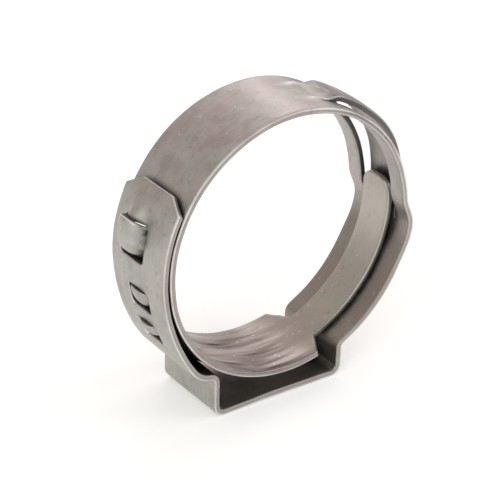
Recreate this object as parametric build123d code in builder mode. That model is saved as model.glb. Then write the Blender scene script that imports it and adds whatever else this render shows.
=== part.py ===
from build123d import *
import math
import os

# Stepless ear clamp: one stainless strip wrapped round a hose, its outer end
# latched over three lanced hooks, its inner end running on as a tongue under
# the ear and between two side strips.
#
# Row frame: the bore axis is Y, the origin is the middle of the bore, +Z is
# up and the ear is at the bottom. Angles are in degrees about the bore axis,
# from +X towards +Z.

# ---------------------------------------------------------------- dimensions
bore_radius = 11.65          # inside of the closed ring
strip_thickness = 0.54
band_width = 7.70
layer_gap = 0.06             # room between the two layers of strip

# inner layer: full width from the merge over the top to the shoulders
merge_angle = 72.5           # side strips and raised strip run into one width
shoulder_angle = 285.2       # full width ends here
tongue_angle = 291.2         # tongue width starts here
tongue_tip_angle = 369.5
tongue_width = 3.50
tongue_tip_corner = 1.30

# outer layer, left: free end, then close over the inner layer, then away
free_end_angle = 147.8
free_end_corner = 1.75       # width cut off each corner
free_end_chamfer = 1.15      # how far the corners are cut back
outer_layer_lift = 0.07      # extra room at the hooks
leave_angle = 183.5          # from here the outer layer leaves the inner one
leave_ratio = 1.31           # radius there, against the ring's own
leave_end_run = 2.54         # the easing ends this far outside the left leg

# ear
left_leg_x = -7.36           # middle of the strip
right_leg_x = 5.44
ear_depth = 2.72             # from the bore to the outside of the bridge
bridge_bow = 0.15            # the bridge is bowed up this much in its middle
left_shelf_run = 1.41        # straight run before the shelf above the left leg
left_shelf_slope = -12.0
left_shelf_radius = 2.60
left_shoulder_radius = 0.72
ear_corner_radius = 0.80
right_shoulder_radius = 0.70
right_shoulder_run = 1.05    # the ring starts this far outside the right leg

# outer layer, right: close over the tongue, then lifted for its tip
lift_start_angle = 333.0
lift_end_angle = 349.0
split_angle = 352.0          # here the layer splits into three strips
lift_height = 0.30
side_strip_down_angle = 365.0
raised_strip_width = 3.40
slit_width = 0.40            # between the raised strip and each side strip
raised_peak_angle = 386.0
raised_peak_height = 0.41    # above the lifted layer
raised_drop_angle = 423.5    # from here it drops to the inner layer
raised_drop_height = -0.10

# latch: three windows in the outer layer, three hooks out of the inner layer
window_corner = 0.45
latch = [
    # window start, window end, window y, window width, hook length, hook height
    (162.8, 178.2, 0.95, 3.40, 12.2, 1.75),
    (189.2, 199.2, 0.20, 2.95, 7.6, 0.98),
    (204.8, 215.0, 0.20, 2.95, 7.6, 1.30),
]
hook_play = 0.15             # between a hook and its window's edges
hook_wall = 0.36
hook_root = 0.30             # how far each dome runs into the sheet

# ---------------------------------------------------------------- path maths
half_strip = strip_thickness / 2
side = band_width / 2
inner_layer_r = bore_radius + half_strip
level_two_r = inner_layer_r + strip_thickness + layer_gap
outer_layer_r = level_two_r + outer_layer_lift
lifted_r = level_two_r + lift_height
raised_peak_r = lifted_r + raised_peak_height
raised_drop_r = lifted_r + raised_drop_height
side_strip_inner_y = raised_strip_width / 2 + slit_width


def polar(radius, angle, centre=(0.0, 0.0)):
    a = math.radians(angle)
    return (centre[0] + radius * math.cos(a), centre[1] + radius * math.sin(a))


def arc_section(radius, start, end, centre=(0.0, 0.0)):
    """An arc of the strip's middle line; falling angles turn clockwise."""
    side = 1 if end > start else -1
    edges = []
    for offset in (-half_strip, half_strip):
        r = radius + side * offset
        edges.append(("arc", [polar(r, a, centre) for a in (start, (start + end) / 2, end)]))
    return edges


def line_section(p, q):
    length = math.dist(p, q)
    normal = ((q[1] - p[1]) / length, -(q[0] - p[0]) / length)
    return [
        ("line", [(p[0] + normal[0] * s, p[1] + normal[1] * s),
                  (q[0] + normal[0] * s, q[1] + normal[1] * s)])
        for s in (-half_strip, half_strip)
    ]


def blend_section(radius_a, start, radius_b, end, steps=10):
    """The middle line passes smoothly from one radius to another."""
    sides = ([], [])
    for i in range(steps + 1):
        u = i / steps
        angle = start + (end - start) * u
        radius = radius_a + (radius_b - radius_a) * u * u * (3 - 2 * u)
        slope = (radius_b - radius_a) * 6 * u * (1 - u) / math.radians(end - start)
        lean = math.degrees(math.atan2(slope, radius))
        point = polar(radius, angle)
        for pts, s in zip(sides, (-half_strip, half_strip)):
            pts.append(polar(s, angle - lean, point))
    return [("spline", pts) for pts in sides]


def meet(p, angle_p, q, angle_q):
    """Where two lines, each a point and a heading, cross."""
    a, b = math.radians(angle_p), math.radians(angle_q)
    det = math.cos(a) * math.sin(b) - math.sin(a) * math.cos(b)
    s = ((q[0] - p[0]) * math.sin(b) - (q[1] - p[1]) * math.cos(b)) / det
    return (p[0] + s * math.cos(a), p[1] + s * math.sin(a))


def bent_sections(points, radii):
    """Straight runs joined by bends; radii are those of the middle line."""
    sections = []
    start = points[0]
    for i in range(1, len(points) - 1):
        before, here, after = points[i - 1], points[i], points[i + 1]
        heading_in = math.atan2(here[1] - before[1], here[0] - before[0])
        heading_out = math.atan2(after[1] - here[1], after[0] - here[0])
        turn = (heading_out - heading_in + math.pi) % (2 * math.pi) - math.pi
        radius = radii[i - 1]
        back = radius * math.tan(abs(turn) / 2)
        p = (here[0] - back * math.cos(heading_in), here[1] - back * math.sin(heading_in))
        q = (here[0] + back * math.cos(heading_out), here[1] + back * math.sin(heading_out))
        sections.append(line_section(start, p))
        side = 1 if turn > 0 else -1
        centre = (p[0] - side * radius * math.sin(heading_in),
                  p[1] + side * radius * math.cos(heading_in))
        first = math.degrees(heading_in) - side * 90
        sections.append(arc_section(radius, first, first + math.degrees(turn), centre))
        start = q
    sections.append(line_section(start, points[-1]))
    return sections


def strip_solid(sections, y_from, y_to):
    """The strip's outline in the XZ plane, pushed from one side to the other."""
    def draw(kind, pts):
        if kind == "arc":
            ThreePointArc(*pts)
        elif kind == "line":
            Line(*pts)
        else:
            Spline(*pts)

    with BuildSketch(Plane.XZ.offset(-y_to)) as outline:
        with BuildLine():
            for bore_side, far_side in sections:
                draw(*bore_side)
                draw(*far_side)
            Line(sections[0][0][1][0], sections[0][1][1][0])
            Line(sections[-1][0][1][-1], sections[-1][1][1][-1])
        make_face()
    extrude(outline.sketch, amount=y_to - y_from, dir=(0, -1, 0))


def radial_plane(radius, angle, y=0.0):
    """A plane facing out of the ring: x along the strip, z radial."""
    a = math.radians(angle)
    return Plane(
        origin=(radius * math.cos(a), y, radius * math.sin(a)),
        x_dir=(-math.sin(a), 0, math.cos(a)),
        z_dir=(math.cos(a), 0, math.sin(a)),
    )


def along(angle_a, angle_b, radius):
    return math.radians(angle_b - angle_a) * radius


# ---------------------------------------------------------------- ear outline
leave_radius = outer_layer_r * leave_ratio
leave_centre = polar(leave_radius - outer_layer_r, leave_angle - 180)
leave_end_x = left_leg_x - leave_end_run
leave_end_angle = 180 + math.degrees(math.acos((leave_centre[0] - leave_end_x) / leave_radius))
leave_point = polar(leave_radius, leave_end_angle, leave_centre)
shelf_corner = polar(left_shelf_run, leave_end_angle + 90, leave_point)
ear_mid_z = half_strip - bore_radius - ear_depth
right_shoulder_angle = 270 + math.degrees(
    math.asin((right_leg_x + right_shoulder_run) / level_two_r))
arrive_point = polar(level_two_r, right_shoulder_angle)
ear_points = [
    leave_point,
    shelf_corner,
    meet(shelf_corner, left_shelf_slope, (left_leg_x, 0), 90),
    (left_leg_x, ear_mid_z),
    (left_leg_x * 0.5 + right_leg_x * 0.5, ear_mid_z + bridge_bow),
    (right_leg_x, ear_mid_z),
    meet((right_leg_x, 0), 90, arrive_point, right_shoulder_angle + 90),
    arrive_point,
]
ear_radii = [left_shelf_radius, left_shoulder_radius, ear_corner_radius,
             60.0, ear_corner_radius, right_shoulder_radius]

# ---------------------------------------------------------------- outer layer
with BuildPart() as outer_layer:
    strip_solid(
        [arc_section(outer_layer_r, free_end_angle, leave_angle),
         arc_section(leave_radius, leave_angle, leave_end_angle, leave_centre)]
        + bent_sections(ear_points, ear_radii)
        + [arc_section(level_two_r, right_shoulder_angle, lift_start_angle),
           blend_section(level_two_r, lift_start_angle, lifted_r, lift_end_angle),
           arc_section(lifted_r, lift_end_angle, split_angle)],
        -side, side)
    # the free end's corners are cut back
    flat = side - free_end_corner
    with BuildSketch(radial_plane(bore_radius, free_end_angle)):
        for s in (-1, 1):
            with BuildLine():
                Polyline((-1, s * flat), (0, s * flat), (free_end_chamfer, s * side),
                         (free_end_chamfer, s * (side + 1)), (-1, s * (side + 1)), close=True)
            make_face()
    extrude(amount=3, mode=Mode.SUBTRACT)
    # windows for the hooks
    for w_start, w_end, w_y, w_width, _, _ in latch:
        with BuildSketch(radial_plane(outer_layer_r - 1.5, (w_start + w_end) / 2, w_y)):
            RectangleRounded(along(w_start, w_end, outer_layer_r), w_width, window_corner)
        extrude(amount=4, mode=Mode.SUBTRACT)

# ---------------------------------------------------------------- inner layer
with BuildPart() as inner_layer:
    strip_solid([arc_section(inner_layer_r, merge_angle, tongue_angle)], -side, side)
    # the shoulders taper to the tongue
    shoulder_mid = (shoulder_angle + tongue_angle) / 2
    reach = along(shoulder_angle, tongue_angle, inner_layer_r)
    with BuildSketch(radial_plane(bore_radius - 1, shoulder_mid)):
        for s in (-1, 1):
            with BuildLine():
                Polyline((-reach / 2, s * side), (reach / 2, s * tongue_width / 2),
                         (reach, s * tongue_width / 2), (reach, s * (side + 1)),
                         (-reach / 2, s * (side + 1)), close=True)
            make_face()
    extrude(amount=3, mode=Mode.SUBTRACT)

with BuildPart() as tongue:
    strip_solid([arc_section(inner_layer_r, tongue_angle, tongue_tip_angle)],
                -tongue_width / 2, tongue_width / 2)
    # rounded tip
    half, corner = tongue_width / 2, tongue_tip_corner
    bulge = corner * (1 - math.cos(math.radians(45)))
    with BuildSketch(radial_plane(bore_radius - 1, tongue_tip_angle)):
        for s in (-1, 1):
            with BuildLine():
                ThreePointArc((0, s * (half - corner)), (-bulge, s * (half - bulge)),
                              (-corner, s * half))
                Polyline((-corner, s * half), (-corner, s * (half + 1)), (1, s * (half + 1)),
                         (1, s * (half - corner)), (0, s * (half - corner)))
            make_face()
    extrude(amount=3, mode=Mode.SUBTRACT)

# hooks lanced out of the inner layer: half domes with a cut face towards the
# free end, hollow behind
sheet_r = inner_layer_r + half_strip
for w_start, _, h_y, w_width, h_length, h_height in latch:
    h_start = w_start + math.degrees(hook_play / sheet_r)
    h_end = h_start + h_length
    h_width = w_width - 2 * hook_play
    reach = along(h_start, h_end, sheet_r)
    frame = radial_plane(sheet_r, (h_start + h_end) / 2, h_y)
    domes = []
    for wall, drop in ((0.0, 0.0), (hook_wall, strip_thickness)):
        with BuildPart(mode=Mode.PRIVATE) as dome:
            Sphere(1)
            scale(by=(reach - wall, h_width / 2 - wall, h_height))
        half = dome.part.moved(Location((-reach / 2, 0, -drop)))
        with BuildPart(mode=Mode.PRIVATE) as cut:
            add(half)
            with Locations((-reach / 2, 0, -drop - hook_root)):
                Box(3 * reach, 3 * h_width, 3 * h_height,
                    align=(Align.MIN, Align.CENTER, Align.MIN), mode=Mode.INTERSECT)
        domes.append(cut.part)
    with inner_layer:
        add(frame.from_local_coords(domes[0]))
        add(frame.from_local_coords(domes[1]), mode=Mode.SUBTRACT)

# ---------------------------------------------------------------- three strips
with BuildPart() as side_strips:
    for y_from, y_to in ((-side, -side_strip_inner_y), (side_strip_inner_y, side)):
        strip_solid(
            [blend_section(lifted_r, split_angle, inner_layer_r, side_strip_down_angle),
             arc_section(inner_layer_r, side_strip_down_angle, merge_angle + 360)],
            y_from, y_to)

with BuildPart() as raised_strip:
    strip_solid(
        [blend_section(lifted_r, split_angle, raised_peak_r, raised_peak_angle),
         blend_section(raised_peak_r, raised_peak_angle, raised_drop_r, raised_drop_angle),
         blend_section(raised_drop_r, raised_drop_angle, inner_layer_r, merge_angle + 360)],
        -raised_strip_width / 2, raised_strip_width / 2)

# ---------------------------------------------------------------- the one part
with BuildPart() as clamp_band:
    add(outer_layer.part)
    add(side_strips.part)
    add(raised_strip.part)
    add(inner_layer.part)
    add(tongue.part)

clamp_band.part.label = "clamp_band"
os.makedirs("parts", exist_ok=True)
export_step(clamp_band.part, "parts/clamp_band.step")
print("solids", len(clamp_band.part.solids()), "valid", clamp_band.part.is_valid,
      "volume", round(clamp_band.part.volume, 2))
box = clamp_band.part.bounding_box()
print("box", box.min, box.max)
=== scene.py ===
# %% [markdown]
# # A stepless ear clamp
# The clamp is one narrow strip of stainless steel. It is cut flat, with its windows, slits and
# hook cuts, and then wound round nearly twice. This lesson makes it in the same order: a flat
# blank first, then a bend along a path. It could be modelled ready bent, but a flat blank
# keeps every length as the maker would draw it. The clamp's measured solid is loaded for its
# size. All is in metres in its frame: Y runs along the bore and Z is up.

# %% Load the measured clamp
import math

import bpy
import numpy as np
from mathutils import Matrix, Vector
from mathutils.bvhtree import BVHTree
from mathutils.geometry import delaunay_2d_cdt


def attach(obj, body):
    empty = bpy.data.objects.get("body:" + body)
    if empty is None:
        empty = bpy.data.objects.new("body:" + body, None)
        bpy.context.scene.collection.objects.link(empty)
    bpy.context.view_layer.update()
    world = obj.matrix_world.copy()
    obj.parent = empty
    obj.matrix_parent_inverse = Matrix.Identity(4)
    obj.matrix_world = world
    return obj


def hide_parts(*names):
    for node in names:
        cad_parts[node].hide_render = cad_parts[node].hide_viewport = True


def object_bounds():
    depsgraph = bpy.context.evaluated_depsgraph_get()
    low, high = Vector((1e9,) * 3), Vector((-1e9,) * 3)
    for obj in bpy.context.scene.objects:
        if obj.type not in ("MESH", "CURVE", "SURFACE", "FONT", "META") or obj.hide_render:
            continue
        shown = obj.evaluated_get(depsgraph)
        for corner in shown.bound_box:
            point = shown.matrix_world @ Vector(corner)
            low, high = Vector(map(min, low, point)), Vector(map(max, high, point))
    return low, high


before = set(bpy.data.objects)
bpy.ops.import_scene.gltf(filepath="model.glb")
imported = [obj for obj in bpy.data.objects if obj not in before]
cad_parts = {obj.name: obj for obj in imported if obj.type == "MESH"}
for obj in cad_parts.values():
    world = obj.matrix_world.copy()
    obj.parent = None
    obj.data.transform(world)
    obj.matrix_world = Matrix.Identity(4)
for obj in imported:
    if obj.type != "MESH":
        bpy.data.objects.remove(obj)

measured_low, measured_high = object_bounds()
MM = 0.001
print("nodes", list(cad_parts), "box mm",
      [round((b - a) / MM, 2) for a, b in zip(measured_low, measured_high)])

# %% [markdown]
# ## The sizes of the strip and its ring
# A clamp maker thinks in a strip's thickness and width and in the ring that it closes to. All
# sizes below are in millimetres, and angles are in degrees about the bore, from +X towards +Z.
# The winding starts at the outer free end and its angle only ever grows, so one number tells
# where along the strip a feature sits, even where two layers lie over each other. Each radius
# is that of the middle of the strip's thickness, worked out from the bore.

# %% Strip and ring
thickness = 0.54
width = 7.70
bore_radius = 11.65
layer_gap = 0.06

inner_r = bore_radius + thickness / 2
level_two_r = inner_r + thickness + layer_gap
outer_r = level_two_r + 0.07
lifted_r = level_two_r + 0.30
print("strip", thickness, "x", width, "ring inside", 2 * bore_radius)

# %% [markdown]
# ## The sizes of the ear, the raised strip and the tongue
# The ear is a square loop that pliers pinch shut. Beyond it the strip opens into two side strips
# and a raised strip, so that the tongue, the end of the inner layer, can slide between them. All
# angles are winding angles, which on the inner layer are 360 more than the plain ones.

# %% Ear, raised strip and tongue
free_end, free_end_corner, free_end_chamfer = 147.8, 1.75, 1.15
leave_angle, leave_ratio, leave_end_run = 183.5, 1.31, 2.54
left_leg_x, right_leg_x, ear_depth, bridge_bow = -7.36, 5.44, 2.72, 0.15
bow_radius, ear_corner_radius = 60.0, 0.80
shelf_run, shelf_slope, shelf_radius = 1.41, -12.0, 2.60
shoulder_radii, right_run = (0.72, 0.70), 1.05
lift_start, lift_end, split = 333.0, 349.0, 352.0
side_down, raised_peak, raised_drop, merge = 365.0, 386.0, 423.5, 432.5
raised_peak_r, raised_drop_r = lifted_r + 0.41, lifted_r - 0.10
raised_width, slit_width = 3.84, 0.18
shoulder, tongue_start, tongue_end = 645.2, 651.2, 729.5
tongue_width, tongue_corner = 3.50, 1.30
print("ear", round(right_leg_x - left_leg_x, 2), "wide and", ear_depth, "deep")

# %% [markdown]
# ## The sizes of the latch
# Three hooks of the inner layer stand in three windows of the outer layer and hold the ring
# closed. A table with one row for each keeps their differences in sight, and the same rows
# place the windows in one layer and the hooks in the other.

# %% Latch
hook_play, window_corner, hook_cut = 0.15, 0.45, 0.06
# window start, window end, middle, width; hook length in degrees, hook height
latch = [
    (162.8, 178.2, 0.95, 3.40, 12.4, 2.00),
    (189.2, 199.2, 0.20, 2.95, 7.6, 0.98),
    (204.8, 215.0, 0.20, 2.95, 7.6, 1.30),
]
print("hooks stand", [row[-1] for row in latch], "mm")

# %% [markdown]
# ## Arcs and straight runs
# Strip that has been through a bending tool is made of arcs and straights. A path of points
# could come from a curve object, but plain points are easier to measure along. One point every
# few hundredths of a millimetre is dense enough for the tightest bend at the ear.

# %% Arcs and runs
STEP = 0.04


def polar(radius, angle, centre=(0.0, 0.0)):
    a = math.radians(angle)
    return (centre[0] + radius * math.cos(a), centre[1] + radius * math.sin(a))


def arc(radius, start, end, centre=(0.0, 0.0)):
    n = max(2, math.ceil(abs(math.radians(end - start)) * radius / STEP))
    return [polar(radius, start + (end - start) * i / n, centre) for i in range(n + 1)]


def run(p, q):
    n = max(1, math.ceil(math.dist(p, q) / STEP))
    return [(p[0] + (q[0] - p[0]) * i / n, p[1] + (q[1] - p[1]) * i / n) for i in range(n + 1)]


print("a full ring takes", len(arc(inner_r, 0, 360)), "points")

# %% [markdown]
# ## Soft blends and tool bends
# Where the strip climbs from one layer to the next it does so in a soft blend of the radius. At
# the ear it is folded over tools instead: each bend is an arc that touches both straight runs.

# %% Blends and bends
def ease(radius_a, start, radius_b, end):
    """A soft change of radius between two angles."""
    n = math.ceil(math.radians(end - start) * radius_a / STEP)
    path = []
    for i in range(n + 1):
        u = i / n
        path.append(polar(radius_a + (radius_b - radius_a) * u * u * (3 - 2 * u),
                          start + (end - start) * u))
    return path


def meet(p, angle_p, q, angle_q):
    """Where a line through p and a line through q cross."""
    a, b = math.radians(angle_p), math.radians(angle_q)
    det = math.cos(a) * math.sin(b) - math.sin(a) * math.cos(b)
    far = ((q[0] - p[0]) * math.sin(b) - (q[1] - p[1]) * math.cos(b)) / det
    return (p[0] + far * math.cos(a), p[1] + far * math.sin(a))


def bend(corners, radii):
    """Straight runs through the corners, with a tool radius at each one."""
    path, start = [], corners[0]
    for before, here, after, radius in zip(corners, corners[1:], corners[2:], radii):
        heading = math.atan2(here[1] - before[1], here[0] - before[0])
        leaving = math.atan2(after[1] - here[1], after[0] - here[0])
        turn = (leaving - heading + math.pi) % (2 * math.pi) - math.pi
        back = radius * math.tan(abs(turn) / 2)
        touch = (here[0] - back * math.cos(heading), here[1] - back * math.sin(heading))
        side = 1 if turn > 0 else -1
        centre = (touch[0] - side * radius * math.sin(heading),
                  touch[1] + side * radius * math.cos(heading))
        first = math.degrees(heading) - side * 90
        path += run(start, touch) + arc(radius, first, first + math.degrees(turn), centre)
        start = (here[0] + back * math.cos(leaving), here[1] + back * math.sin(leaving))
    return path + run(start, corners[-1])


print("a blend round a quarter takes", len(ease(inner_r, 0, outer_r, 90)), "points")

# %% [markdown]
# ## The corners of the ear
# Left of the ear the outer layer swings away from the ring on a wider arc, lies down on a short
# shelf and drops into the left leg. The bridge below is bowed up a hair, and the right leg
# meets the ring again. Only the corners are worked out here; the tool radii round them off.

# %% Corners of the ear
leave_r = outer_r * leave_ratio
leave_centre = polar(leave_r - outer_r, leave_angle - 180)
leave_end = 180 + math.degrees(math.acos((leave_centre[0] - left_leg_x + leave_end_run) / leave_r))
leave_point = polar(leave_r, leave_end, leave_centre)
shelf_corner = polar(shelf_run, leave_end + 90, leave_point)
bridge_z = thickness / 2 - bore_radius - ear_depth
arrive = 270 + math.degrees(math.asin((right_leg_x + right_run) / level_two_r))
ear_corners = [
    leave_point,
    shelf_corner,
    meet(shelf_corner, shelf_slope, (left_leg_x, 0), 90),
    (left_leg_x, bridge_z),
    ((left_leg_x + right_leg_x) / 2, bridge_z + bridge_bow),
    (right_leg_x, bridge_z),
    meet((right_leg_x, 0), 90, polar(level_two_r, arrive), arrive + 90),
    polar(level_two_r, arrive),
]
ear_radii = [shelf_radius, shoulder_radii[0], ear_corner_radius, bow_radius, ear_corner_radius,
             shoulder_radii[1]]
print("the strip leaves the ring at", leave_angle, "and comes back at", round(arrive, 1))

# %% [markdown]
# ## The whole way round
# The strip has one way to the split and one from the merge, and two between them: low along the
# side strips and high along the raised strip. The raised route is kept as a path of its own, so
# that each part of the blank can later follow the one it belongs to.

# %% The whole way round
front = (arc(outer_r, free_end, leave_angle) + arc(leave_r, leave_angle, leave_end, leave_centre)
         + bend(ear_corners, ear_radii) + arc(level_two_r, arrive, lift_start)
         + ease(level_two_r, lift_start, lifted_r, lift_end) + arc(lifted_r, lift_end, split))
side_route = ease(lifted_r, split, inner_r, side_down) + arc(inner_r, side_down, merge)
raised_route = (ease(lifted_r, split, raised_peak_r, raised_peak)
                + ease(raised_peak_r, raised_peak, raised_drop_r, raised_drop)
                + ease(raised_drop_r, raised_drop, inner_r, merge))
back_route = arc(inner_r, merge, tongue_end)
print("points before, beside and after the slits", len(front), len(side_route), len(back_route))

# %% [markdown]
# ## Measure and relax the paths
# Spring steel doesn't keep a sharp change of direction where it climbs to the next layer. A
# short running average softens only that stretch and leaves the ear's tool bends alone.

# %% Measure and relax
RELAX_REACH, RELAX_FADE = 0.9, 4.0
relax_start, relax_end, raised_relax_end = 320, 380, 445


def clean(path):
    kept_points = [path[0]]
    for p in path[1:]:
        if math.dist(p, kept_points[-1]) > STEP / 4:
            kept_points.append(p)
    return np.array(kept_points)


def lengths(path):
    return np.concatenate([[0], np.cumsum(np.linalg.norm(np.diff(path, axis=0), axis=1))])


def turned(path):
    """The angle of every point about the bore, unwound so that it never jumps back."""
    a = np.degrees(np.unwrap(np.arctan2(path[:, 1], path[:, 0])))
    return a + free_end - a[0]


def relax(path, start, end):
    a = turned(path)
    share = np.clip(np.minimum(a - start, end - a) / RELAX_FADE, 0, 1)
    n = int(RELAX_REACH / STEP)
    kernel = np.hanning(2 * n + 3)[1:-1]
    kernel /= kernel.sum()
    padded = np.pad(path, ((n, n), (0, 0)), mode="edge")
    soft = np.stack([np.convolve(padded[:, k], kernel, "valid") for k in (0, 1)], 1)
    return path + (soft - path) * share[:, None]


main_path = relax(clean(front + side_route + back_route), relax_start, relax_end)
raised_path = relax(clean(front + raised_route + back_route), relax_start, raised_relax_end)
main_s = lengths(main_path)
total_s = main_s[-1]
print("strip length", round(total_s, 1), "mm in", len(main_path), "points")

# %% [markdown]
# ## Where each feature falls on the flat strip
# On the flat blank a feature needs a length along the strip instead of an angle. The turning
# angle of every path point gives that length by lookup.

# %% From angle to length
def s_at(angle, path=main_path):
    rising = np.maximum.accumulate(turned(path))
    return float(np.interp(angle, rising, lengths(path)))


split_s, merge_s = s_at(split), s_at(merge)
raised_split_s, raised_merge_s = s_at(split, raised_path), s_at(merge, raised_path)
shoulder_s, tongue_s = s_at(shoulder), s_at(tongue_start)
print("slits from", round(split_s, 1), "to", round(merge_s, 1), "shoulder", round(shoulder_s, 1))

# %% [markdown]
# ## Columns of points, closer where the strip bends
# A flat mesh bends smoothly only where it has points to bend at. Even columns would waste them
# on the round parts and leave the ear's corners angular, so each step is as long as the path's
# turning allows.

# %% Columns
LOOK_BACK, LOOK_AHEAD = 0.25, 0.35
SHORTEST, LONGEST, TURN_PER_COLUMN = 0.08, 0.32, 0.13

path_heading = np.unwrap(np.arctan2(np.gradient(main_path[:, 1]), np.gradient(main_path[:, 0])))
turning = np.abs(np.gradient(path_heading) / np.gradient(main_s))
columns, s = [0.0], 0.0
while s < total_s:
    near = turning[(main_s > s - LOOK_BACK) & (main_s < s + LOOK_AHEAD)].max()
    s += min(LONGEST, max(SHORTEST, TURN_PER_COLUMN / max(near, 1e-6)))
    columns.append(min(s, total_s))
columns = np.array(columns)
print("columns", len(columns), "tongue end", round(total_s, 2))

# %% [markdown]
# ## Drawing the cuts
# The press cuts outlines with straight edges, clipped corners and rounded windows. Each outline
# here is a closed ring of points with the metal on its left, so that a later step knows which
# way is inwards. Long edges reuse the columns, which keeps the triangles beside them regular.

# %% Tools for outlines
half_width = width / 2
LONG_SPACING = 0.42


def dense(corners, spacing=0.25):
    ring = []
    for p, q in zip(corners, corners[1:] + corners[:1]):
        n = max(1, math.ceil(math.dist(p, q) / spacing))
        ring += [(p[0] + (q[0] - p[0]) * i / n, p[1] + (q[1] - p[1]) * i / n) for i in range(n)]
    return ring


def long_edge(s_from, s_to, y, margin=0.05):
    between_ends = columns[(columns > s_from + margin) & (columns < s_to - margin)]
    return [(s_from, y)] + [(float(c), y) for c in between_ends] + [(s_to, y)]


def rounded(s_from, s_to, y_from, y_to, corner, steps=5):
    """A punched hole, run clockwise so that the metal is on the left."""
    ring = []
    for cx, cy, first in ((s_from + corner, y_to - corner, 180),
                          (s_to - corner, y_to - corner, 90),
                          (s_to - corner, y_from + corner, 0),
                          (s_from + corner, y_from + corner, -90)):
        ring += [polar(corner, first - 90 * i / steps, (cx, cy)) for i in range(steps + 1)]
    return dense(ring)


print("an edge of the whole strip takes", len(long_edge(0, total_s, 0)), "points")

# %% [markdown]
# ## The outer shape
# The free end has clipped corners, the strip narrows at two shoulders, and the tongue ends
# round. Both long sides are the same, so one half is drawn and mirrored.

# %% Outer shape
half_tongue = tongue_width / 2
tip_steps = 6
tip_centre = (total_s - tongue_corner, -half_tongue + tongue_corner)
near_half = ([(0.0, -half_width + free_end_corner)]
             + long_edge(free_end_chamfer, shoulder_s, -half_width)
             + long_edge(tongue_s, total_s - tongue_corner, -half_tongue)
             + [polar(tongue_corner, -90 + 90 / tip_steps * i, tip_centre)
                for i in range(1, tip_steps + 1)])
outline = dense(near_half + [(s, -y) for s, y in reversed(near_half)], LONG_SPACING)
print("outline", len(outline), "points")

# %% [markdown]
# ## Slits, windows and hook cuts
# Two slits free the raised strip, three windows take the hooks, and a short cut across each
# hook lets its lip stand free. A hook is a little narrower than its window, as a real one is.

# %% Slits, windows and hook cuts
holes, hooks = [], []
for sign in (-1, 1):
    edges = sorted((sign * raised_width / 2, sign * (raised_width / 2 + slit_width)))
    holes.append(dense(long_edge(split_s, merge_s, edges[1])
                       + long_edge(split_s, merge_s, edges[0])[::-1], LONG_SPACING))
for w_start, w_end, middle, w_width, h_length, h_height in latch:
    holes.append(rounded(s_at(w_start), s_at(w_end), middle - w_width / 2, middle + w_width / 2,
                         window_corner))
    s0 = s_at(w_start + 360) + hook_play
    reach, half = math.radians(h_length) * (inner_r + thickness / 2), w_width / 2 - hook_play
    hooks.append((s0, middle, reach, half, h_height))
    holes.append(rounded(s0 - hook_cut, s0, middle - half, middle + half, 0.01, 1))
print(len(holes), "holes;", len(hooks), "hooks")

# %% [markdown]
# ## Rings that roll the edges round
# A sheared and tumbled edge is never sharp. Two more rings of points just inside each outline
# let the faces drop away towards it in a quarter round. A Bevel modifier could do it on a
# simpler piece, but it stumbles over slits this narrow.

# %% Edge rings
roll = 0.10
roll_rings = (0.0, 0.03, 0.10)
points, edge_drop, constraints = [], [], []


def inset(ring, distance):
    pts = np.array(ring)
    before, after = pts - np.roll(pts, 1, 0), np.roll(pts, -1, 0) - pts
    before /= np.linalg.norm(before, axis=1)[:, None]
    after /= np.linalg.norm(after, axis=1)[:, None]
    normal = np.stack([-(before + after)[:, 1], (before + after)[:, 0]], 1)
    normal /= np.linalg.norm(normal, axis=1)[:, None]
    square = np.stack([-after[:, 1], after[:, 0]], 1)
    stretch = 1 / np.clip((normal * square).sum(1), 0.5, 1)
    return pts + normal * (distance * stretch)[:, None]


def add_ring(ring, drop):
    start = len(points)
    points.extend([tuple(p) for p in ring])
    edge_drop.extend([drop] * len(ring))
    constraints.extend([(start + i, start + (i + 1) % len(ring)) for i in range(len(ring))])


for ring in [outline] + holes:
    for distance in roll_rings:
        add_ring(inset(ring, distance) if distance else np.array(ring),
                 roll * (1 - math.sqrt(1 - (1 - distance / roll) ** 2)))
print("edge rings hold", len(points), "points")

# %% [markdown]
# ## Points for the hooks and the plain strip
# A dome needs its points in rings round it, closest near its foot, where it is steepest. The
# rest of the strip gets an even grid on the columns, kept clear of what is already there.

# %% Points inside
DOME_RINGS, WIDE_RINGS, LEAST_REACH = 12, 9, 0.14
GRID, CLEAR, GRID_MARGIN = 0.36, 0.16, 0.2


def add_point(s, y):
    points.append((s, y))
    edge_drop.append(0.0)


for s0, middle, reach, half, _ in hooks:
    for k in range(DOME_RINGS):
        scale = math.sqrt(1 - (k / DOME_RINGS) ** 2)
        n = 44 if k < WIDE_RINGS else 22
        for i in range(n + 1):
            a = math.radians(-90 + 180 * i / n)
            if reach * scale * math.cos(a) > LEAST_REACH:
                add_point(s0 + reach * scale * math.cos(a), middle + half * scale * math.sin(a))

fixed = np.array(points)
for c in columns[1:-1]:
    for y in np.arange(-half_width + GRID, half_width - GRID_MARGIN, GRID):
        if np.hypot(fixed[:, 0] - c, fixed[:, 1] - y).min() > CLEAR:
            add_point(float(c), float(y))
print("blank holds", len(points), "points")

# %% [markdown]
# ## Cut the blank into triangles
# A constrained triangulation respects every outline exactly, which a grid with boolean cuts
# would not. Triangles whose middle falls outside the strip or in a hole are dropped.

# %% Triangles
MERGE_WITHIN = 1e-5
found = delaunay_2d_cdt([Vector(p) for p in points], constraints, [], 0, MERGE_WITHIN)
flat = np.array([tuple(v) for v in found[0]])
drop = np.array([edge_drop[ids[0]] if ids else 0.0 for ids in found[3]])


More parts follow.
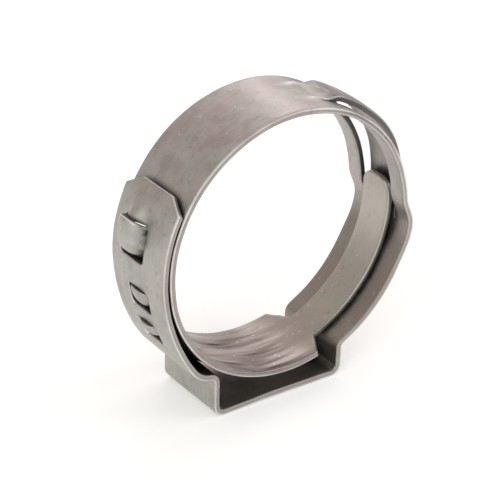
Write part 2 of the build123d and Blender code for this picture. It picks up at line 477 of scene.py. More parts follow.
def inside(test, ring):
    ring = np.array(ring)
    hit = np.zeros(len(test), bool)
    for (x1, y1), (x2, y2) in zip(ring, np.roll(ring, -1, 0)):
        crosses = (y1 > test[:, 1]) != (y2 > test[:, 1])
        if crosses.any():
            hit ^= crosses & (test[:, 0] < (x2 - x1) * (test[:, 1] - y1) / (y2 - y1 + 1e-30) + x1)
    return hit


triangles = np.array([tuple(f) for f in found[2]])
middles = flat[triangles].mean(1)
keep = inside(middles, outline)
for ring in holes:
    keep &= ~inside(middles, ring)
triangles = triangles[keep]
print("blank has", len(flat), "points and", len(triangles), "triangles")

# %% [markdown]
# ## Press the hooks
# A hook is half a dome: the metal behind its cut is pushed outwards, and both faces of the sheet
# move together, as they do in a press. The first hook is drawn tallest and squarest, and under
# load its lip leans over the edge of its window. A dome's height is a plain formula of the
# place, so it needs no sculpting.

# %% Press the hooks
PLAIN_PLAN, SQUARE_PLAN, ACROSS_PLAN, DOME_SHAPE = 2.6, 4.2, 2.6, 2.2
SQUARE_ABOVE, LEAN_ABOVE, LEAN_SHARE = 1.5, 0.70, 0.2

flat_s, flat_y = flat[:, 0], flat[:, 1]
push, lean = np.zeros(len(flat)), np.zeros(len(flat))
for s0, middle, reach, half, h in hooks:
    u, v = np.abs(flat_s - s0) / reach, np.abs(flat_y - middle) / half
    plan = SQUARE_PLAN if h > SQUARE_ABOVE else PLAIN_PLAN
    room_left = 1 - (u ** plan + v ** ACROSS_PLAN)
    up = (flat_s > s0 - 0.01) & (room_left > 0)
    push[up] = h * room_left[up] ** (1 / DOME_SHAPE)
    lean[up] = np.clip(push[up] - LEAN_ABOVE, 0, None) * LEAN_SHARE
print("tallest hook", round(push.max(), 2), "mm, leaning", round(lean.max(), 2))

# %% [markdown]
# ## Swell the strip ahead of the first window
# The tallest hook lifts the end of its window when it is pulled tight, so the outer layer
# swells just ahead of the window and its edge rides up over the hook's lip.

# %% Swell at the first window
SWELL_LENGTH, SWELL_SHARE, SWELL_PAST = 2.5, 0.55, 0.12

w_start, _, middle, w_width, _, tallest = latch[0]
ahead = np.clip((s_at(w_start) - flat_s) / SWELL_LENGTH, 0, 1)
lip = np.cos(np.pi / 2 * np.clip((flat_y - middle) / (w_width / 2), -1, 1)) ** 2
rise = (tallest - (outer_r - inner_r)) * SWELL_SHARE * lip
swell = flat_s < s_at(w_start) + SWELL_PAST
push[swell] += (rise * (0.5 + 0.5 * np.cos(np.pi * ahead)))[swell]
print("the window's edge rises", round(rise.max(), 2), "mm")

# %% [markdown]
# ## Crown the raised strip
# The raised strip is crowned across its width, which makes it stiff. The crown is deeper close to
# its two roots, and beside each slit's upper end the press leaves a small knuckle.

# %% Crown and knuckles
CROWN, CROWN_FADE, CROWN_POWER = 0.12, 1.5, 2.5
ROOT_CROWN, ROOT_PLACE, ROOT_LENGTH = 0.14, 0.9, 0.8
KNUCKLE, KNUCKLE_PAST, KNUCKLE_LENGTH, KNUCKLE_Y, KNUCKLE_WIDTH = 0.26, 0.10, 0.75, 1.70, 0.36

on_raised = ((np.abs(flat_y) < raised_width / 2 + slit_width / 2)
             & (flat_s > split_s) & (flat_s < merge_s))
from_root = np.minimum(flat_s - split_s, merge_s - flat_s)
crown = (CROWN * np.clip(from_root / CROWN_FADE, 0, 1)
         + ROOT_CROWN * np.exp(-((from_root - ROOT_PLACE) / ROOT_LENGTH) ** 2))
push[on_raised] -= (crown * np.abs(flat_y / (raised_width / 2)) ** CROWN_POWER)[on_raised]
knuckle = np.exp(-(((flat_s - merge_s - KNUCKLE_PAST) / KNUCKLE_LENGTH) ** 2
                   + ((np.abs(flat_y) - KNUCKLE_Y) / KNUCKLE_WIDTH) ** 2))
push += KNUCKLE * knuckle
print("the raised strip's edges lie", round(crown[on_raised].max(), 2), "mm below its middle")

# %% [markdown]
# ## Ripple, bulges and grooves
# Cold worked strip is never quite flat, so a slow ripple thinner than a hair is added. Closing
# the ear drags the strip over the hose: it bulges a little into the ear there, and its bore
# side is left with shallow grooves along the strip. The grooves are a table of long dents on
# that side alone, because real ones don't show through the sheet.

# %% Ripple, bulges and grooves
def bump_at(s, y, s0, y0, length, across, skew):
    """A smooth dent's depth from 0 to 1, long along the strip and narrow across it."""
    u = (s - s0) / length
    v = (y - y0 - skew * (s - s0)) / across
    return np.exp(-(u ** 2 + v ** 2) * 2)


def bumps(table):
    return sum(deep * bump_at(flat_s, flat_y, s_at(angle), y0, length, across, skew)
               for angle, y0, length, across, deep, skew in table)


RIPPLE_FADE = 1.5
ripple = 0.010 * np.sin(flat_s * 0.9 + 1.3 * np.sin(flat_s * 0.21) + flat_y * 0.35)
ripple += 0.005 * np.sin(flat_s * 2.3 - flat_y * 0.8)
to_root = np.minimum(np.abs(flat_s - split_s), np.abs(flat_s - merge_s))
push += ripple * np.clip(to_root / RIPPLE_FADE, 0, 1)

# winding angle, place across, length, width, depth, skew
bulges = [(593, -0.6, 3.4, 1.60, 0.46, 0.0), (613, 1.4, 3.4, 0.80, 0.14, 0.08),
          (618, -2.2, 2.6, 0.70, 0.10, 0.0)]
grooves = [(598, -2.3, 2.6, 0.42, 0.060, 0.05), (606, -1.1, 3.2, 0.38, 0.050, 0.10),
           (601, 0.3, 2.2, 0.50, 0.055, -0.06), (612, 1.3, 2.8, 0.40, 0.045, 0.08),
           (596, 2.5, 1.8, 0.45, 0.050, 0.00), (622, -2.6, 2.4, 0.34, 0.035, -0.12),
           (628, -0.6, 2.0, 0.30, 0.030, 0.15), (589, -0.6, 1.7, 0.42, 0.040, 0.12)]
push += bumps(bulges)
dents = bumps(grooves)
print(len(bulges), "bulges;", len(grooves), "grooves, deepest", round(dents.max(), 3), "mm")

# %% [markdown]
# ## Give the blank its thickness
# Both faces of the sheet stand half a thickness from its middle, less the roll at the edges. A
# Solidify modifier would do for an even sheet, but here the bore side has grooves of its own,
# and the cut wall gets rows of its own for its smooth sheared band and its rougher torn band.

# %% Thicken
WALL_ROWS = (0.35, -0.35)

edge_use = set()
for a, b, c in triangles:
    edge_use.update(((a, b), (b, c), (c, a)))
rim = [(a, b) for a, b in edge_use if (b, a) not in edge_use]
rim_ids = sorted({a for a, b in rim})
rim_row = {v: i for i, v in enumerate(rim_ids)}

n, m = len(flat), len(rim_ids)
half = thickness / 2 - drop
levels = [half + push, -half + push + dents]
rows = [share * half[rim_ids] + push[rim_ids] for share in WALL_ROWS]
where = np.concatenate([np.arange(n), np.arange(n), rim_ids, rim_ids]).astype(int)
shape = np.column_stack([flat_s[where], flat_y[where], np.concatenate(levels + rows)])
faces = [tuple(t) for t in triangles] + [(c + n, b + n, a + n) for a, b, c in triangles]
for a, b in rim:
    i, j = rim_row[a], rim_row[b]
    column = ((a, b), (2 * n + i, 2 * n + j), (2 * n + m + i, 2 * n + m + j), (a + n, b + n))
    faces += [(q[1], q[0], r[0], r[1]) for q, r in zip(column, column[1:])]

blank = bpy.data.meshes.new("clamp_strip")
blank.from_pydata([tuple(p * MM) for p in shape], [], [tuple(map(int, f)) for f in faces])
strip = bpy.data.objects.new("clamp_strip", blank)
bpy.context.scene.collection.objects.link(strip)
print("blank mesh", len(blank.vertices), "points", len(blank.polygons), "faces")

# %% [markdown]
# ## Let every point know what it is
# The bend needs to know how far along and on which route a point lies, and the steel needs to
# know about edges, cut walls and the bore side. Numbers stored on the points carry that through
# the bend, and a UV map keeps the flat strip's own coordinates for the grain.

# %% Numbers on the points
UV_SCALE, SLIT_REACH = 10.0, 0.6

along = flat_s - lean
on_rise = (raised_merge_s - raised_split_s) / (merge_s - split_s)
along[on_raised] = raised_split_s + (along[on_raised] - split_s) * on_rise
in_slit = np.abs(np.abs(flat_y) - (raised_width + slit_width) / 2) < slit_width * SLIT_REACH
in_slit &= (flat_s > split_s - 0.01) & (flat_s < merge_s + 0.01)
rolled = np.concatenate([drop, drop, np.zeros(2 * m)]) / roll
kept_numbers = (
    ("along", "FLOAT", along[where] * MM),
    ("route", "INT", on_raised[where].astype(int)),
    # The rolled edges are lighter partly from real wear and partly as a painted highlight, and the
    # knuckles get a painted glint.
    ("worn_edge_and_glint", "FLOAT", np.maximum(rolled, knuckle[where])),
    ("cut_wall", "FLOAT", np.concatenate([np.zeros(2 * n), np.ones(2 * m)])),
    ("slit_wall", "FLOAT", in_slit[where].astype(float)),
    ("bore_side", "FLOAT", np.concatenate([np.zeros(n), np.ones(n), np.full(2 * m, 0.5)])),
    ("strip_length", "FLOAT", flat_s[where]),
)
for name, kind, values in kept_numbers:
    blank.attributes.new(name, kind, "POINT").data.foreach_set("value", values)
strip_uv = blank.uv_layers.new(name="strip")
corner_points = np.zeros(len(blank.loops), int)
blank.loops.foreach_get("vertex_index", corner_points)
strip_uv.data.foreach_set("uv", (shape[corner_points][:, :2] / UV_SCALE).ravel())
print("kept on the points:", [row[0] for row in kept_numbers])

# %% [markdown]
# ## Shader maths as plain expressions
# Material graphs read badly as long lists of links. A small wrapper lets a socket take part in
# ordinary arithmetic, and one method makes any other node from its type, its settings and its
# inputs. It could be done with node groups, but an expression is shorter to read.

# %% Shader helper
def socket_of(node, key):
    """_0, _1 and so on pick an input by its place, any other key by its name."""
    return node.inputs[int(key[1:])] if key[0] == "_" else node.inputs[key.replace("_", " ")]


class Wire:
    """One socket of a material, open to arithmetic."""

    def __init__(self, tree, socket=None):
        self.tree, self.socket = tree, socket

    def node(self, kind, settings=None, output=0, **inputs):
        made = self.tree.nodes.new(kind)
        for key, value in (settings or {}).items():
            setattr(made, key, value)
        for key, value in inputs.items():
            if isinstance(value, Wire):
                self.tree.links.new(value.socket, socket_of(made, key))
            else:
                socket_of(made, key).default_value = value
        return Wire(self.tree, made.outputs[output] if len(made.outputs) else None)

    def maths(self, operation, *others):
        values = {f"_{i}": v for i, v in enumerate((self, *others))}
        return self.node("ShaderNodeMath", {"operation": operation}, **values)

    def __add__(self, other):
        return self.maths("ADD", other)

    __radd__ = __add__

    def __sub__(self, other):
        return self.maths("SUBTRACT", other)

    def __rsub__(self, other):
        return (self * -1.0).maths("ADD", other)

    def __mul__(self, other):
        return self.maths("MULTIPLY", other)

    __rmul__ = __mul__

    def over(self, edge, softness):
        """0 below the edge, 1 above it, with a soft step."""
        return self.node("ShaderNodeMapRange", {"interpolation_type": "SMOOTHSTEP"},
                         Value=self, From_Min=edge - softness, From_Max=edge + softness)


print("a wire can", [name for name in vars(Wire) if name[:2] != "__"])

# %% [markdown]
# ## Two more shader tools
# A colour has to go through a Mix node, because a Math node would turn it grey. The other tool
# empties a material's or world's node tree, so that it holds only what this lesson puts in.

# %% Mixing and starting afresh
def bare_tree(owner):
    owner.use_nodes = True
    owner.node_tree.nodes.clear()
    return Wire(owner.node_tree)


def mix_colour(under, over_it, factor):
    """Lay one colour over another. A colour is a wire or three numbers."""
    colours = {key: value if isinstance(value, Wire) else (*value, 1)
               for key, value in (("_6", under), ("_7", over_it))}
    return factor.node("ShaderNodeMix", {"data_type": "RGBA"}, output=2, _0=factor, **colours)


print("mixing tools ready")

# %% [markdown]
# ## Rolled stainless strip: the grain
# Cold rolled stainless is satin, not mirror bright. Its grain runs along the strip, so it is
# drawn in the strip's own flat coordinates and bends round the ring with it. The soft clouds
# that heat and hands leave have no direction, so they are drawn in space.

# %% Grain and clouds
steel = bpy.data.materials.new("satin stainless strip")
w = bare_tree(steel)
place = w.node("ShaderNodeTexCoord", output="Object")
flat_uv = w.node("ShaderNodeUVMap", {"uv_map": "strip"})


def along_grain(stretch_s, stretch_y, detail=3.0, rough=0.6, shift=0.0):
    scaled = w.node("ShaderNodeMapping", Vector=flat_uv, Scale=(stretch_s, stretch_y, 1.0),
                    Location=(shift, shift, 0.0))
    return w.node("ShaderNodeTexNoise", {"noise_dimensions": "2D"}, Vector=scaled,
                  Scale=1.0, Detail=detail, Roughness=rough)


def clouds(scale, detail=3.0, rough=0.6, distortion=0.0):
    return w.node("ShaderNodeTexNoise", Vector=place, Scale=scale, Detail=detail,
                  Roughness=rough, Distortion=distortion)


grain = along_grain(6.0, 260.0)
broad_grain = along_grain(1.8, 30.0, 4.0)
patches, handling, fine = clouds(210.0, 2.0), clouds(520.0, 4.0, 0.65), clouds(2600.0, 2.0)
print("grain and clouds take", len(w.tree.nodes), "nodes")

# %% [markdown]
# ## Scratches, specks and pits
# A thin line on a surface is where a smooth noise passes through its middle value: the distance
# from that value, cut off just above zero, draws it. Round specks and pits are the middles of
# the cells of a Voronoi pattern, and a fine noise chooses which cell is which.

# %% Scratches, specks and pits
def line_in(noise, half_wide, softness):
    return 1 - (noise - 0.5).maths("ABSOLUTE").over(half_wide, softness)


smudge = along_grain(9.0, 16.0, 4.0, 0.7, 3.0).over(0.66, 0.05)
hairline = line_in(clouds(620.0, 1.0, 0.5, 1.2), 0.010, 0.009) * patches.over(0.55, 0.05)
cross_line = line_in(along_grain(40.0, 7.0, 1.0, 0.5, 9.0), 0.010, 0.008)
hairline = hairline + 0.7 * cross_line * handling.over(0.52, 0.05)
cells = w.node("ShaderNodeTexVoronoi", Vector=place, Scale=1500.0)
speck = (1 - cells.over(0.16, 0.06)) * fine.over(0.56, 0.05)
pit = (1 - cells.over(0.16, 0.06)) * (1 - fine.over(0.44, 0.05))
print("with marks", len(w.tree.nodes), "nodes")

# %% [markdown]
# ## Where on the strip a finish belongs
# Some finishes belong to a stretch of the strip or to one of its sides. The numbers kept on the
# points tell both, so a mask is a short expression rather than a painted image.

# %% Masks
def kept(name):
    return w.node("ShaderNodeAttribute", {"attribute_name": name}, output="Fac")


worn_and_glint, wall, slit_wall_tear_and_shade = kept("worn_edge_and_glint"), kept("cut_wall"), kept("slit_wall")
painted_shade, bore, run_length = kept("painted_shade"), kept("bore_side"), kept("strip_length")


def between(start_angle, end_angle, fade):
    """1 along the strip between two winding angles, fading out over some millimetres."""
    first, last = s_at(start_angle), s_at(end_angle)
    return 1 - (run_length - (first + last) / 2).maths("ABSOLUTE").over((last - first) / 2, fade)


inside_face = bore.over(0.6, 0.3)
# Painted reflection colour: the left stretch leans olive because of the light there.
left_painted_tint = between(147, 262, 3.0)
over_ear = inside_face * between(590, 632, 5.0)
# Painted light: the tongue's bore face is made lighter, as if lit.
tongue_painted_light = inside_face * between(655, 745, 2.5)
# Painted shade on the bore side, away from the slits and the tongue.
bore_painted_shade = inside_face * (1 - between(352, 440, 2.5)) * (1 - between(690, 735, 4.0))
# Painted shade on the outside of the slit stretch, standing in for a dark reflection.
slit_painted_shade = between(394, 430, 1.4) * (1 - inside_face)
drag = along_grain(0.9, 5.2, 2.0, 0.40, 5.0)
print("with masks", len(w.tree.nodes), "nodes")

# %% [markdown]
# ## The colours of the steel
# Bare stainless is a warm grey between mauve and olive, and the left stretch is given a painted
# olive cast from the light there. Hands and heat shift it in layers, and painted light and shade
# go in as layers too, each a colour and a factor for how much of it shows. Listing the layers
# from the metal up keeps the order plain: painted shade in the bore, painted light on the
# tongue, painted shade and highlight in streaks along the drag marks over the ear, painted shade
# outside the slits, then stains, scratches, specks and pits.

# %% Colours of the metal
mauve, olive = (0.440, 0.388, 0.380), (0.410, 0.412, 0.378)
tint = mix_colour(mauve, olive, (patches + 0.10 * left_painted_tint).over(0.5, 0.10))
for colour, factor in (
    ((0.500, 0.470, 0.445), handling.over(0.56, 0.12) * 0.6),
    ((0.30, 0.27, 0.25), (1 - handling.over(0.42, 0.08)) * 0.35),
    ((0.32, 0.28, 0.26), (1 - broad_grain.over(0.45, 0.20)) * 0.20),
    # painted shade in the bore
    ((0.220, 0.180, 0.150), bore_painted_shade * (0.35 + 0.45 * handling)),
    # painted light on the tongue
    ((0.520, 0.500, 0.440), tongue_painted_light * 0.55),
    # Painted shade between the drag marks over the ear and painted highlight on them; the marks'
    # relief itself is real.
    ((0.13, 0.10, 0.085), over_ear * (1 - drag.over(0.46, 0.07)) * 0.65),
    ((0.50, 0.45, 0.42), over_ear * drag.over(0.60, 0.05) * 0.45),
    # painted shade outside the slits
    ((0.16, 0.152, 0.152), slit_painted_shade * (0.60 + 0.40 * handling.over(0.48, 0.08)) * 0.80),
    ((0.24, 0.20, 0.19), smudge * 0.40),
    ((0.70, 0.68, 0.66), hairline * 0.14),
    ((0.74, 0.73, 0.71), speck * 0.40),
    ((0.20, 0.17, 0.16), pit * 0.45),
):
    tint = mix_colour(tint, colour, factor)
print("with colours", len(w.tree.nodes), "nodes")

# %% [markdown]
# ## Worn edges, torn walls and painted shade
# Edges that the press rolled over are bright from wear, and that colour also carries a painted
# highlight along them and a painted glint on the knuckles. The cut walls are duller, most of all
# on their lower half, where the sheet tore instead of shearing, and the slit walls get painted
# shade too. Painted shade darkens whatever lies covered between the layers and inside the ear,
# and it comes last, over everything.

# %% Edges, walls and painted shade
# Painted highlight along the rolled edges and painted glint on the knuckles, over real wear.
rubbed_and_glint = worn_and_glint * (1 - 0.75 * bore) * (0.55 + 0.45 * patches.over(0.5, 0.1))
torn = wall * (0.35 + 0.5 * bore) * (0.6 + 0.4 * fine)
for colour, factor in (
    ((0.80, 0.775, 0.755), rubbed_and_glint),
    ((0.26, 0.25, 0.24), torn * 0.45),
    # The slit walls go nearly black: partly duller torn steel, partly painted shade in the narrow
    # slits.
    ((0.10, 0.09, 0.085), slit_wall_tear_and_shade * 0.75),
):
    tint = mix_colour(tint, colour, factor)
# Painted shade: near black where the feelers found metal close by, between the layers and in the
# ear.
painted_shade_amount = (painted_shade.over(0.45, 0.19) * 0.84 + 0.15 * handling * painted_shade).maths("MINIMUM", 1.0)
painted_shade_black, painted_shade_grey = (0.048, 0.045, 0.043), (0.125, 0.122, 0.112)
tint = mix_colour(tint, mix_colour(painted_shade_black, painted_shade_grey, handling.over(0.52, 0.10)), painted_shade_amount)
print("with painted_shade_layer", len(w.tree.nodes), "nodes")

# %% [markdown]
# ## How the steel shines and feels
# Rubbed edges shine more and torn walls less, and that is roughness. The grain and the pits are
# too shallow to model, so a Bump node draws them, and a second one the deeper drag marks over
# the ear. Steel is metal all over, so that number is set on the shader itself.

# %% Shine and relief
roughness = (0.33 + 0.14 * handling + 0.08 * broad_grain + 0.10 * wall - 0.10 * worn_and_glint
             + 0.10 * painted_shade_amount - 0.15 * over_ear)
relief = (0.35 * grain + 0.35 * broad_grain + 0.25 * handling + 0.30 * hairline - 0.5 * pit
          + 0.3 * wall * fine)
fine_bump = w.node("ShaderNodeBump", Height=relief, Strength=0.30, Distance=0.00002)
bump = w.node("ShaderNodeBump", Height=drag * over_ear, Strength=0.9, Distance=0.0012,
              Normal=fine_bump)
metal = w.node("ShaderNodeBsdfPrincipled", Metallic=1.0, Base_Color=tint, Roughness=roughness,
               Normal=bump)
w.node("ShaderNodeOutputMaterial", Surface=metal)
print("steel has", len(w.tree.nodes), "nodes")

# %% [markdown]
# ## The routes as curves
# Geometry Nodes can bend any flat mesh along a curve, and they read the curve's length and
# direction at any place. Both routes go into one curve object as two splines, so that one number
# on each point picks its route.

# %% Route curves
routes_curve = bpy.data.curves.new("clamp_routes", "CURVE")
routes_curve.dimensions = "3D"
for path in (main_path, raised_path):
    spline = routes_curve.splines.new("POLY")
    spline.points.add(len(path) - 1)
    spline.points.foreach_set("co", np.column_stack(
        [path[:, 0] * MM, np.zeros(len(path)), path[:, 1] * MM, np.ones(len(path))]).ravel())
routes = bpy.data.objects.new("clamp_routes", routes_curve)
bpy.context.scene.collection.objects.link(routes)
print("routes", [len(spline.points) for spline in routes_curve.splines])

# %% [markdown]
# ## An empty tree with named inputs
# A Curve modifier could bend the strip too, but it follows one curve only. A tree of our own
# takes the strip, the routes and the steel as named inputs. A short helper makes a node and
# fills its inputs in one line.

# %% Tree and its inputs
tree = bpy.data.node_groups.new("Bend strip along routes", "GeometryNodeTree")
for label, kind in (("Strip", "NodeSocketGeometry"), ("Routes", "NodeSocketObject"),
                    ("Steel", "NodeSocketMaterial"), ("Start offset", "NodeSocketFloat")):
    tree.interface.new_socket(label, in_out="INPUT", socket_type=kind)
tree.interface.new_socket("Clamp", in_out="OUTPUT", socket_type="NodeSocketGeometry")
given = tree.nodes.new("NodeGroupInput").outputs


def geo(kind, settings=None, output=0, **inputs):
    made = tree.nodes.new(kind)
    for key, value in (settings or {}).items():
        setattr(made, key, value)
    for key, value in inputs.items():
        if isinstance(value, bpy.types.NodeSocket):
            tree.links.new(value, socket_of(made, key))
        else:
            socket_of(made, key).default_value = value
    return made.outputs[output]


def vector_maths(operation, **inputs):
    return geo("ShaderNodeVectorMath", {"operation": operation}, **inputs)


print("tree inputs", [item.name for item in tree.interface.items_tree])

# %% [markdown]
# ## Bend the blank round the path
# Each point's length along the strip picks a place on the curve. Its distance across the strip
# is kept as Y, and its height above the strip's middle is measured out along the curve's own
# normal. Length, width and outward height turn the other way round than X, Y and Z do, so the
# tree also flips the faces.

# %% The bending tree
rail = geo("GeometryNodeObjectInfo", output="Geometry", Object=given["Routes"])
far = geo("GeometryNodeInputNamedAttribute", {"data_type": "FLOAT"}, Name="along")
which = geo("GeometryNodeInputNamedAttribute", {"data_type": "INT"}, Name="route")
start = geo("ShaderNodeMath", {"operation": "ADD"}, _0=far, _1=given["Start offset"])
on_rail = geo("GeometryNodeSampleCurve", {"mode": "LENGTH", "data_type": "FLOAT"},
              Curves=rail, Length=start, Curve_Index=which).node.outputs
apart = geo("ShaderNodeSeparateXYZ", _0=geo("GeometryNodeInputPosition")).node.outputs
across = geo("ShaderNodeCombineXYZ", Y=apart["Y"])
outward = vector_maths("CROSS_PRODUCT", _0=(0, 1, 0), _1=on_rail["Tangent"])
lift = vector_maths("SCALE", _0=outward, Scale=apart["Z"])
moved = vector_maths("ADD", _0=on_rail["Position"], _1=across)
placed = vector_maths("ADD", _0=moved, _1=lift)
bent = geo("GeometryNodeSetPosition", Geometry=given["Strip"], Position=placed)
turned_out = geo("GeometryNodeFlipFaces", Mesh=bent)
real = geo("GeometryNodeRealizeInstances", Geometry=turned_out)
dressed = geo("GeometryNodeSetMaterial", Geometry=real, Material=given["Steel"])
tree.links.new(dressed, tree.nodes.new("NodeGroupOutput").inputs[0])
print("bending tree has", len(tree.nodes), "nodes")

# %% [markdown]
# ## Bend it and keep the mesh
# The modifier's inputs are set by their identifiers before the strip is first evaluated. The
# result is then kept as a plain mesh and the modifier taken off, because a finished piece must
# not depend on a curve that is gone.

# %% Bend and keep
modifier = strip.modifiers.new("Bend", "NODES")
modifier.node_group = tree
keys = {item.name: item.identifier for item in tree.interface.items_tree
        if item.item_type == "SOCKET" and item.in_out == "INPUT"}
modifier[keys["Routes"]] = routes
modifier[keys["Steel"]] = steel
modifier[keys["Start offset"]] = 0.0

depsgraph = bpy.context.evaluated_depsgraph_get()
baked = bpy.data.meshes.new_from_object(strip.evaluated_get(depsgraph), depsgraph=depsgraph)
strip.modifiers.clear()
strip.data = baked
strip.data.name = "clamp_strip"
bpy.data.objects.remove(routes)
baked.polygons.foreach_set("use_smooth", [True] * len(baked.polygons))
if not baked.materials:
    baked.materials.append(steel)
ends = np.array([v.co for v in baked.vertices]) / MM
print("bent strip spans", ends.min(0).round(2), "to", ends.max(0).round(2))

# %% [markdown]
# ## Feel for cover
# The layers and the inside of the ear get least light, and the steel is given painted shade
# there. From every point a fan of short feelers goes out, and the share that meets metal within
# a few millimetres tells how covered the point is. An Ambient Occlusion node would do the same
# in one renderer only, while a number on the point goes wherever the mesh goes.

# %% Feelers
FEELERS, FEELER_LENGTH, FEELER_START = 16, 0.0055, 0.00004
STEEP, SHALLOW = 0.97, 0.12

metal_around = BVHTree.FromObject(strip, bpy.context.evaluated_depsgraph_get())
golden = math.pi * (3 - math.sqrt(5))
fan = [Vector((math.sqrt(1 - z * z) * math.cos(golden * i),
               math.sqrt(1 - z * z) * math.sin(golden * i), z))
       for i, z in enumerate(np.linspace(STEEP, SHALLOW, FEELERS))]
painted_shade_share = np.zeros(len(baked.vertices))
for i, point in enumerate(baked.vertices):
    out = point.normal
    to_world = out.to_track_quat("Z", "Y")
    origin = point.co + out * FEELER_START
    for feeler in fan:
        hit = metal_around.ray_cast(origin, to_world @ feeler, FEELER_LENGTH)
        if hit[0] is not None:
            painted_shade_share[i] += (1 - hit[3] / FEELER_LENGTH) ** 0.5 / FEELERS
print("tucked share: most", round(painted_shade_share.max(), 2))

# %% [markdown]
# ## Smooth what was felt
# A few feelers give a spotty answer. Averaging each point with its neighbours along the mesh's
# edges, three times over, spreads it into a soft painted shade.

# %% Smooth the cover
SMOOTHING = 3

pairs = np.zeros(2 * len(baked.edges), int)
baked.edges.foreach_get("vertices", pairs)
first, second = pairs.reshape(-1, 2).T
for _ in range(SMOOTHING):
    total, count = painted_shade_share.copy(), np.ones(len(painted_shade_share))
    np.add.at(total, first, painted_shade_share[second])
    np.add.at(total, second, painted_shade_share[first])
    np.add.at(count, first, 1)
    np.add.at(count, second, 1)
    painted_shade_share = total / count
# The strength of the painted shade is kept on each point.
baked.attributes.new("painted_shade", "FLOAT", "POINT").data.foreach_set("value", painted_shade_share)
print("tucked share: middle", round(float(np.median(painted_shade_share)), 2),
      "most", round(painted_shade_share.max(), 2))

# %% [markdown]
# ## Put the strip in the measured clamp's place
# The bent strip stands in for the measured solid, which is hidden. It rides on the clamp's only
# body, because a one-piece clamp has nothing that moves by itself.

# %% Ride
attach(strip, "root")
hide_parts("clamp_band")
print(strip.name, "rides on root")

# %% [markdown]
# ## A white floor
# The clamp stands on its ear on a sheet of white paper. A satin part mirrors what it stands on,
# so the paper glows a little towards the camera and in reflections, and looks white there while
# it still catches the clamp's shadow. More lamps would do that too, but would bleach the steel.

# %% Floor
FLOOR_REACH, PAPER, PAPER_GLOW = 0.6, (0.80, 0.80, 0.80, 1), 0.33

floor_z = measured_low[2]
floor_mesh = bpy.data.meshes.new("floor")
floor_mesh.from_pydata([(x * FLOOR_REACH, y * FLOOR_REACH, floor_z)
                        for x, y in ((-1, -1), (1, -1), (1, 1), (-1, 1))], [], [(0, 1, 2, 3)])
floor = bpy.data.objects.new("floor", floor_mesh)
bpy.context.scene.collection.objects.link(floor)

paper = bpy.data.materials.new("white paper")
p = bare_tree(paper)
ray = p.node("ShaderNodeLightPath").socket.node.outputs
seen = Wire(p.tree, ray["Is Camera Ray"]) + Wire(p.tree, ray["Is Glossy Ray"])
seen = (seen + Wire(p.tree, ray["Is Transmission Ray"])).maths("MINIMUM", 1.0)
matt = p.node("ShaderNodeBsdfDiffuse", Color=PAPER)
glow = p.node("ShaderNodeEmission", Color=(1, 1, 1, 1), Strength=PAPER_GLOW)
lit = p.node("ShaderNodeAddShader", _0=matt, _1=glow)
p.node("ShaderNodeOutputMaterial", Surface=p.node("ShaderNodeMixShader", _0=seen, _1=matt, _2=lit))
floor_mesh.materials.append(paper)
print("floor at", round(floor_z / MM, 2), "mm")

# %% [markdown]
# ## A pale room
# Metal shows the room more than the lamps. An even sky would leave the steel flat, so the room
# is a soft gradient: lightest above and behind on the right, cool on the left, and darker at
# the back left, as by a wall. It is all near white, so that other colours stay true in it.

# %% Room
world = bpy.data.worlds.new("pale room")
bpy.context.scene.world = world
r = bare_tree(world)
direction = r.node("ShaderNodeTexCoord", output="Generated")


def towards(x, y, z, none_at, all_at):
    """0 to 1 as the direction turns towards one point of the room."""
    length = math.sqrt(x * x + y * y + z * z)
    facing = r.node("ShaderNodeVectorMath", {"operation": "DOT_PRODUCT"}, output="Value",
                    _0=direction, _1=(x / length, y / length, z / length))
    return facing.over((none_at + all_at) / 2, (all_at - none_at) / 2)


room = mix_colour((0.62, 0.61, 0.59), (1.06, 0.97, 0.95), towards(0.4, 0.7, 0.60, 0.0, 0.9))
room = mix_colour(room, (1.00, 1.02, 0.98), towards(-0.8, -0.3, 0.3, 0.3, 1.0))
room = mix_colour(room, (0.52, 0.47, 0.43), towards(-0.5, 0.7, 0.45, 0.55, 1.0) * 0.7)
sky = r.node("ShaderNodeBackground", Color=room, Strength=1.0)
r.node("ShaderNodeOutputWorld", Surface=sky)
print("room has", len(r.tree.nodes), "nodes")

# %% [markdown]
# ## Three soft lamps
# Small parts are lit with lamps that look large from where they stand. Round area lamps give
# soft highlights along the rolled edges: a stronger one at the left, a weaker one at the right,
# and a small one behind that picks out the hooks and the far rim.

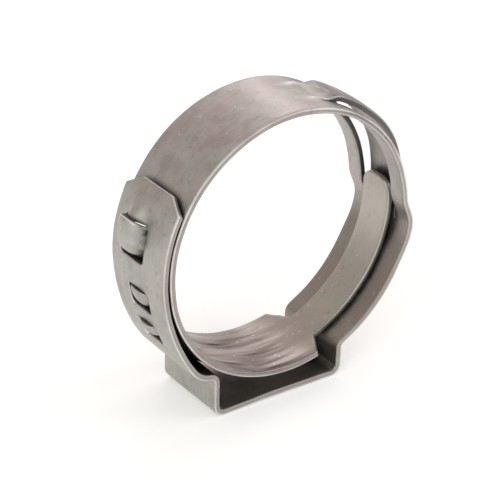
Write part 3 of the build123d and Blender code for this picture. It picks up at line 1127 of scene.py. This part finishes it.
# %% Lamps
def lamp(name, where_to, size, power, colour):
    light = bpy.data.lights.new(name, "AREA")
    light.shape = "DISK"
    light.size, light.energy, light.color = size, power, colour
    body = bpy.data.objects.new(name, light)
    facing = (-Vector(where_to)).to_track_quat("-Z", "Y").to_matrix().to_4x4()
    body.matrix_world = Matrix.Translation(where_to) @ facing
    bpy.context.scene.collection.objects.link(body)


lamp("soft lamp left", (-0.22, -0.14, 0.16), 0.12, 0.14, (0.98, 1.0, 0.97))
lamp("soft lamp right", (0.20, -0.16, 0.14), 0.12, 0.10, (0.97, 0.98, 1.0))
lamp("soft lamp behind", (0.13, 0.18, 0.13), 0.045, 0.026, (1.0, 0.98, 0.97))

# %% [markdown]
# ## The camera
# A long lens from some distance keeps the near and far rims of the ring almost the same size,
# as a catalogue picture does. The camera looks down from the left, a little to one side of the
# ring, and its place is worked out in bore radii from two angles and a slight tilt.

# %% Camera
AWAY, SIDEWAYS, UPWARDS = 15.0, 0.11768, 0.16388
LENS, SENSOR = 149.6, 36.0

azimuth, elevation, tilt = map(math.radians, (-35.16, 29.57, 1.75))
right = Vector((math.cos(azimuth), math.sin(azimuth), 0))
back = Vector((math.sin(azimuth) * math.cos(elevation), -math.cos(azimuth) * math.cos(elevation),
               math.sin(elevation)))
above = back.cross(right)
turn = Matrix(((math.cos(tilt), 0, -math.sin(tilt)), (0, 1, 0),
               (math.sin(tilt), 0, math.cos(tilt))))
right, above, back = turn @ right, turn @ above, turn @ back
spot = (back * AWAY - right * SIDEWAYS - above * UPWARDS) * bore_radius * MM

camera_data = bpy.data.cameras.new("camera")
camera_data.lens, camera_data.sensor_width, camera_data.clip_start = LENS, SENSOR, 0.01
camera = bpy.data.objects.new("camera", camera_data)
camera.matrix_world = (Matrix.Translation(spot)
                       @ Matrix((right, above, back)).transposed().to_4x4())
bpy.context.scene.collection.objects.link(camera)
bpy.context.scene.camera = camera
bpy.context.scene.view_settings.view_transform = "Standard"
print("camera at", [round(c / MM, 1) for c in spot])

# %% [markdown]
